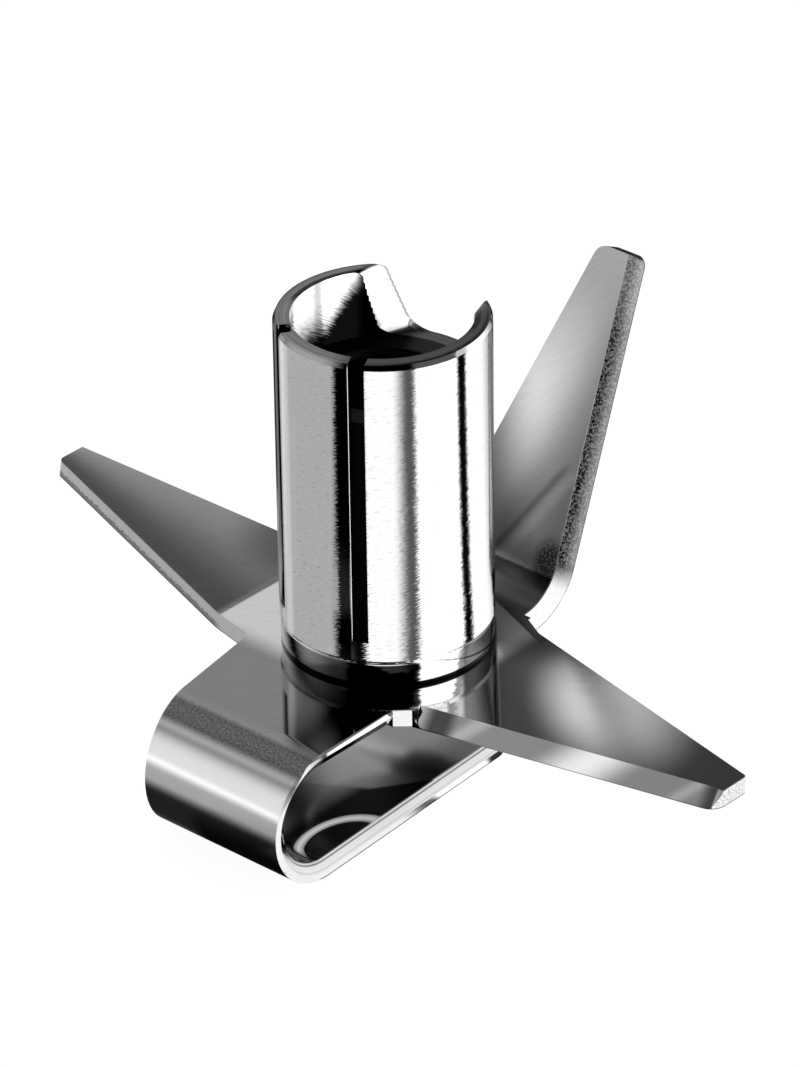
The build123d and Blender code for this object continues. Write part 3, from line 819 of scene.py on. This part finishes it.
def bladeMetal(s):
    material, tree, metal = newMetal("bladeSteel")
    place = addNode(tree, "ShaderNodeAttribute", attribute_name="sheetPlace").outputs["Vector"]
    x, y, depth = split(place)
    normal = addNode(tree, "ShaderNodeNewGeometry").outputs["Normal"]
    grain = minus(lay(place, math.radians(s["beltTurn"]), *s["belt"])["Grain"], 0.5)
    pits = addNode(tree, "ShaderNodeTexNoise", {"Vector": place, "Scale": s["pitScale"]}).outputs[0]
    at = {
        "place": place, "x": x, "y": y, "depth": depth, "upward": split(normal)[2], "pits": pits,
        "bendEnd": timesPlus(grain, s["bendRough"], y),
        "tornDepth": timesPlus(pits, s["tornRough"], depth),
        "slanted": timesPlus(depth, s["slantedBy"], x),
        "back": timesPlus(y, -1.0, s["foldBack"]),
    }
    for way, (alongX, alongY) in s["ways"].items():
        at[way] = timesPlus(x, alongX, times(y, alongY))
    mask = {name: patch(at, given) for name, given in s["masks"].items()}
    top, frontHalf = mask["top"], mask["frontHalf"]
    side = times(minus(1.0, top), mask["aboveBelly"])
    arms = calc("MAXIMUM", mask["steepArm"], mask["shallowArm"])
    arms = calc("MAXIMUM", mask["flatArm"], arms)
    # the plate mirrors the hub to its right as the camera sees it, up to the hub's radius
    mirror = times(minus(1.0, mask["clearOfHub"]), top, mask["rightOfHub"])
    dull = times(arms, minus(1.0, mirror))
    # the painted shade right of the hub and the flat arm's painted tone count only for what the camera sees
    # directly: where other steel mirrors the sheet, it has neither
    direct = addNode(tree, "ShaderNodeLightPath").outputs["Is Camera Ray"]

    grainTone = blendValues(patch(at, s["foldGrain"]), s["grainTone"], s["foldGrainTone"])
    tone = timesPlus(grain, grainTone, s["polish"])
    # painted shade on the top of the plate in front of the hub
    near = times(patch(at, s["near"]), top)
    tone = toned(tone, near, s["near"]["tone"])
    # painted shade on the plate in front of the hub and behind it, and a painted dark reflection of the hub
    # on its right
    tone = shaded(tone, at, s["hubFrontShade"], near)
    tone = shaded(tone, at, s["behindHub"], top)
    for given in s["hubMirrorShade"]:
        tone = shaded(tone, at, given, mirror, direct)
    # painted reflection: a dark line where the plate mirrors the hub's right edge
    hubLineTone = blendValues(mask["rightOfHub"], 1.0, s["hubLineTone"])
    tone = toned(tone, times(top, patch(at, s["hubLine"])), hubLineTone)
    # painted shade: the shallow arm is darker towards its cutting edge and its bend
    shallowTop = times(mask["shallowArm"], top)
    halfWidth, taper = s["shallowHalf"]
    acrossArm = calc("DIVIDE", y, timesPlus(x, taper, halfWidth))
    acrossTone = timesPlus(ease(acrossArm, *s["shallowAcross"]), *s["shallowTone"])
    tone = toned(tone, shallowTop, acrossTone)
    tone = shaded(tone, at, s["shallowBend"], shallowTop)
    # painted highlight on the flat arm in an oval behind, and painted shade at its point and in front
    flatTop = times(patch(at, s["flatStart"]), mask["clearOfHub"], top, direct)
    glow = spot(join(at["alongGlow"], at["acrossGlow"], 0.0), *s["flatGlow"])
    tone = toned(tone, flatTop, timesPlus(glow, *s["flatTone"]))
    # painted highlight in the steep arm's middle and painted shade at its root, with a painted dark band
    # and light band across its root, as creases show
    steepTop = times(mask["steepArm"], top)
    steepTone = timesPlus(patch(at, s["steepGlow"]), *s["steepTone"])
    rootTone = timesPlus(patch(at, s["steepRoot"]), *s["rootTone"])
    tone = toned(tone, steepTop, times(steepTone, rootTone))
    for given in s["creases"]:
        tone = shaded(tone, at, given, steepTop)
    tone = shaded(tone, at, s["scuff"], top)
    # painted shade: its bend is dark, and so is its mirror image in the plate, with a clean edge
    tone = shaded(tone, at, s["bend"], top)
    # cut edges: pitted on the steep arm, ragged below on the shallow one
    edge = times(patch(at, s["cutEdge"]), mask["aboveBelly"])
    pitted = times(edge, patch(at, s["pitted"]), frontHalf)
    tone = blendValues(pitted, tone, addedUp(at, s["pitTones"]))
    # painted shade on the steep arm's tip end, where it faces up
    tone = shaded(tone, at, s["tipEnd"], side)
    tone = shaded(tone, at, s["torn"], mask["shallowArm"], side)
    # painted highlights in bands along the flat arm's ground edge, darker towards its ends
    bevelGlints = addedUp(at, s["bevelGlints"])
    run = blendValues(patch(at, s["bevelGlintRun"]), s["bevelGlintEnds"], 1.0)
    bevelGlintTone = times(timesPlus(bevelGlints, *s["bevelGlintTone"]), run)
    groundEdge = times(edge, mask["flatArm"], patch(at, s["ground"]))
    tone = blendValues(groundEdge, tone, bevelGlintTone)
    # fine lines of the shears along the folded arm's lower edge
    lines = addedUp(at, s["shearLines"])
    tone = shaded(tone, at, s["shorn"], lines, frontHalf)
    flatEnd = times(side, patch(at, s["flatEnd"]))
    tone = toned(tone, flatEnd, timesPlus(pits, *s["flatEndTone"]))
    # painted shade: a thin dark line where the ground edge meets the underside, and under the folded arm
    tone = shaded(tone, at, s["rimLine"], patch(at, s["aboveFoot"]))
    tone = shaded(tone, at, s["footLine"], frontHalf)
    # where the sheet is stretched round the fold, the polish has gone dull and grainy, and painted shade
    # darkens it
    stretched = times(patch(at, s["stretched"]), top)
    grainy = timesPlus(patch(at, s["stretchedPits"]), *s["stretchedTone"])
    tone = blendValues(times(stretched, s["stretchedShare"]), tone, grainy)
    # painted shade inside the fold, dark towards its open edge, with a painted highlight in an arc in the
    # dark
    within = patch(at, s["withinFold"])
    tone = shaded(tone, at, s["foldWall"], within)
    floor = times(within, patch(at, s["foldFloor"]))
    bent = calc("MAXIMUM", minus(x, s["lineBend"]), 0.0)
    line = timesPlus(bent, s["lineBent"], timesPlus(x, s["lineSlope"], s["lineStart"]))
    at["overLine"] = minus(at["back"], line)
    tone = shaded(tone, at, s["foldDark"], floor)
    fading = times(patch(at, s["fading"]), floor)
    for given in s["fades"]:
        tone = shaded(tone, at, given, fading)
    fromArc = vectorCalc("SUBTRACT", join(x, at["back"], 0.0), s["arcAt"])
    at["fromArc"] = vectorCalc("LENGTH", vectorCalc("DIVIDE", fromArc, s["arcSize"]))
    arc = times(patch(at, s["arc"]), floor)
    plug(metal["Base Color"], blendValues(arc, tone, s["arcTone"]))

    gloss = blendValues(dull, s["platGloss"], s["armGloss"])
    shornEdge = times(side, frontHalf, patch(at, s["shornGlossy"]))
    for share, value in (
        (times(mask["flatArm"], minus(1.0, mirror)), s["flatGloss"]),
        (times(mask["folded"], patch(at, s["outsideFold"])), s["foldGloss"]),
        (times(mask["folded"], patch(at, s["insideFold"])), s["inFoldGloss"]),
        (calc("MAXIMUM", stretched, pitted), s["dullGloss"]),
        (arc, s["arcGloss"]),
        (shornEdge, s["shornGloss"]),
    ):
        gloss = blendValues(share, gloss, value)
    plug(metal["Roughness"], gloss)

    beltLean = times(grain, timesPlus(dull, *s["beltLean"]))
    groundLean = times(bevelGlints, groundEdge, s["groundLean"])
    leant = leanBy(normal, s["beltWay"], beltLean, (1, 0, 0), groundLean)
    # burrs turn the cut edge over at the fold's shoulder; the arc is dished
    rightSide = times(side, frontHalf)
    shoulderLean = times(rightSide, patch(at, s["shoulder"]), s["shoulderLean"])
    leant = leanBy(leant, (0, 0, -1), shoulderLean, (1, 0, 0), times(arc, s["arcLean"]))
    # at the steep arm's bend the cut edge is rubbed flat and faces right
    cornerLean = times(rightSide, patch(at, s["corner"]), s["cornerLean"])
    plug(metal["Normal"], leanBy(leant, s["cornerWay"], cornerLean, (0, 0, 1), 0.0))
    return material


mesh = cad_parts["blade"].data.copy()
rework(mesh, mergeClose(blade["closest"]), joinFlats(blade["flattest"]))
stampedBlade = makeObject("stampedBlade", mesh)
roundEdges(stampedBlade, blade["edge"], 2, 25)
places = stampedBlade.data.attributes.new("sheetPlace", "FLOAT_VECTOR", "POINT")
for vertex, spotHere in zip(stampedBlade.data.vertices, places.data):
    spotHere.vector = placeInSheet(vertex.co, blade)
wear(stampedBlade, bladeMetal(blade))
print("blade dressed:", len(stampedBlade.data.polygons), "faces")

for piece, node, slot in (
    (stampedBlade, "blade", "blade_steel"),
    (hubSleeve, "hub_sleeve", "sleeve_steel"),
    (hubCore, "hub_core", "core_steel"),
):
    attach(piece, "root")
    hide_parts(node)

# Camera, where the photographer's stood
view = {
    "azimuth": 42.0, "elevation": 30.23, "distance": 353.18, "right": 0.7011, "up": 5.0163,
    "roll": 0.0153, "focalPixels": 6917.7, "imageHeight": 1067, "sensor": 36, "sees": (0.02, 20),
}
azimuth, elevation = math.radians(view["azimuth"]), math.radians(view["elevation"])
back = Vector((
    math.sin(azimuth) * math.cos(elevation),
    -math.cos(azimuth) * math.cos(elevation),
    math.sin(elevation),
))
right = Vector((math.cos(azimuth), math.sin(azimuth), 0))
up = back.cross(right)
level, lift = math.cos(view["roll"]), math.sin(view["roll"])
turn = Matrix((right * level - up * lift, right * lift + up * level, back)).transposed()
lens = bpy.data.cameras.new("studioCamera")
lens.sensor_width = view["sensor"]
lens.lens = view["sensor"] * view["focalPixels"] / view["imageHeight"]
lens.clip_start, lens.clip_end = view["sees"]
camera = makeObject("studioCamera", lens)
stand = back * view["distance"] + right * view["right"] + up * view["up"]
camera.matrix_world = Matrix.Translation(stand * mm) @ turn.to_4x4()
scene.camera = camera
print("camera set")

# Studio: a white table, boards stood round it, four lamps and a flag.
# Angles are in degrees round the hub and above the table.
studio = {
    "behindCamera": -48.0,  # azimuths are counted on from here, so they never jump in view
    # board: start, softness, end, softness, level near the table, level above it
    "boards": {
        "greyBehind": (-236, 6, -213, 6, 0.35, 0.0),
        "greyLeft": (-191, 14, -99, 4, 0.56, 0.0),
        "brightLeft": (-187, 6, -172, 6, 0.22, 0.0),
        "whiteFront": (-68, 3, -33, 8, 1.4, 0.0),
        "greyFront": (-33, 8, -18, 4, 0.13, 0.0),
        "whiteRight": (-17, 4, 31, 2, 1.8, 2.8),
        "gapOver": (31, 2, 43, 2, 0.0, 0.7),
        "whiteFarRight": (43, 2, 85, 24, 1.5, 1.3),
    },
    "boardTop": (44, 60), "boardRise": (1.0, 9.0),
    # lamps: azimuth, elevation, full inside, gone outside, level
    "lamps": [
        (-126, 11, 0, 40, 1.12), (-178, 58, 8, 31, 1.4), (148, 33, 8, 38, 0.8), (105, 8, 5, 38, 0.5),
    ],
    "flag": (119, 33, 8.2, 10.8, 0.93),
    "around": 0.003,
    # painted shadow on the table close to the fold on the left, where the steel mirrors it; lit again in
    # front of it
    "foldAt": (-4.5, -15.5, 0), "foldHalf": (5.5, 1.5, 0), "tableNear": (0.3, 5.5),
    "foldShadowTone": 0.03,
    "frontGlow": ((-4, -23, 0), (12, 7, 1), 0.4, 0.5), "farGlow": (-170, -84, 8, 45, 120, 0.5),
    "tableWhite": 0.965, "tableShade": 0.1, "tableShadow": 0.9, "tableHalf": 3,
}


def boardLight(around, above):
    total = None
    for start, softStart, end, softEnd, low, high in studio["boards"].values():
        begins = ease(around, start - softStart, start + softStart)
        ends = ease(around, end - softEnd, end + softEnd)
        here = times(minus(begins, ends), high if above else low)
        total = here if total is None else calc("ADD", total, here)
    return total


def aim(azimuth, elevation):
    a, e = math.radians(azimuth), math.radians(elevation)
    return math.cos(a) * math.cos(e), math.sin(a) * math.cos(e), math.sin(e)


def lampLight(direction, azimuth, elevation, inside, outside, level):
    near = vectorCalc("DOT_PRODUCT", direction, aim(azimuth, elevation))
    share = ease(near, math.cos(math.radians(outside)), math.cos(math.radians(inside)))
    return times(share, level)


world = bpy.data.worlds.new("studio")
scene.world = world
world.use_nodes = True
tree = world.node_tree
tree.nodes.clear()
direction = addNode(tree, "ShaderNodeTexCoord").outputs["Generated"]
x, y, z = split(direction)
above = times(calc("ARCSINE", z), 180 / math.pi)
around = angleRound(x, y, studio["behindCamera"])[1]
rise = ease(above, *studio["boardRise"])
total = blendValues(rise, boardLight(around, False), boardLight(around, True))
total = times(total, ease(above, studio["boardTop"][1], studio["boardTop"][0]))
for lamp in studio["lamps"]:
    total = calc("ADD", total, lampLight(direction, *lamp))
shade = lampLight(direction, *studio["flag"])
total = calc("ADD", times(total, minus(1.0, shade)), studio["around"])
lit = addNode(tree, "ShaderNodeBackground", {"Strength": total, "Color": (1, 1, 1, 1)}).outputs[0]
white = addNode(tree, "ShaderNodeBackground", {"Color": (1, 1, 1, 1)}).outputs[0]
direct = addNode(tree, "ShaderNodeLightPath").outputs["Is Camera Ray"]
seen = addNode(tree, "ShaderNodeMixShader", {0: direct, 1: lit, 2: white}).outputs[0]
addNode(tree, "ShaderNodeOutputWorld", {0: seen})
print("lamps and boards set")

floorZ = cadBox[0][2]
half = studio["tableHalf"]
corners = [(-half, -half, floorZ), (half, -half, floorZ), (half, half, floorZ), (-half, half, floorZ)]
mesh = bpy.data.meshes.new("table")
mesh.from_pydata(corners, [], [(0, 1, 2, 3)])
table = makeObject("table", mesh)
tableTop = bpy.data.materials.new("tableTop")
tableTop.use_nodes = True
tree = tableTop.node_tree
tree.nodes.clear()
x, y, _ = split(scaled(addNode(tree, "ShaderNodeTexCoord").outputs["Object"], 1 / mm))
flat = join(x, y, 0.0)
inFold = vectorCalc("ABSOLUTE", vectorCalc("SUBTRACT", flat, studio["foldAt"]))
outside = vectorCalc("MAXIMUM", vectorCalc("SUBTRACT", inFold, studio["foldHalf"]), (0, 0, 0))
openTable = ease(vectorCalc("LENGTH", outside), *studio["tableNear"])
around = angleRound(x, y, studio["behindCamera"])[1]
centre, size, softness, strength = studio["frontGlow"]
front = times(spot(flat, centre, size, softness), strength)
level = calc("MAXIMUM", boardLight(around, False), front)
start, end, softness, near, far, strength = studio["farGlow"]
far = times(ease(vectorCalc("LENGTH", flat), near, far), band(around, start, end, softness))
level = timesPlus(far, strength, level)
level = times(level, blendValues(openTable, studio["foldShadowTone"], 1.0))
level = calc("ADD", level, studio["around"])
# what the steel mirrors of the table, what the camera sees of it, and what other light meets
mirrored = addNode(tree, "ShaderNodeEmission", {"Strength": level}).outputs[0]
glow = addNode(tree, "ShaderNodeEmission", {"Strength": studio["tableWhite"]}).outputs[0]
paper, shadow = (
    addNode(tree, "ShaderNodeBsdfDiffuse", {"Color": (studio[key],) * 3 + (1,)}).outputs[0]
    for key in ("tableShade", "tableShadow")
)
seen = addNode(tree, "ShaderNodeAddShader", {0: glow, 1: paper}).outputs[0]
rays = addNode(tree, "ShaderNodeLightPath").outputs
plain = addNode(tree, "ShaderNodeMixShader", {0: rays["Is Camera Ray"], 1: shadow, 2: seen}).outputs[0]
final = addNode(tree, "ShaderNodeMixShader", {0: rays["Is Glossy Ray"], 1: plain, 2: mirrored})
addNode(tree, "ShaderNodeOutputMaterial", {0: final.outputs[0]})
table.data.materials.append(tableTop)
print("table set")

scene.view_settings.view_transform = "Standard"
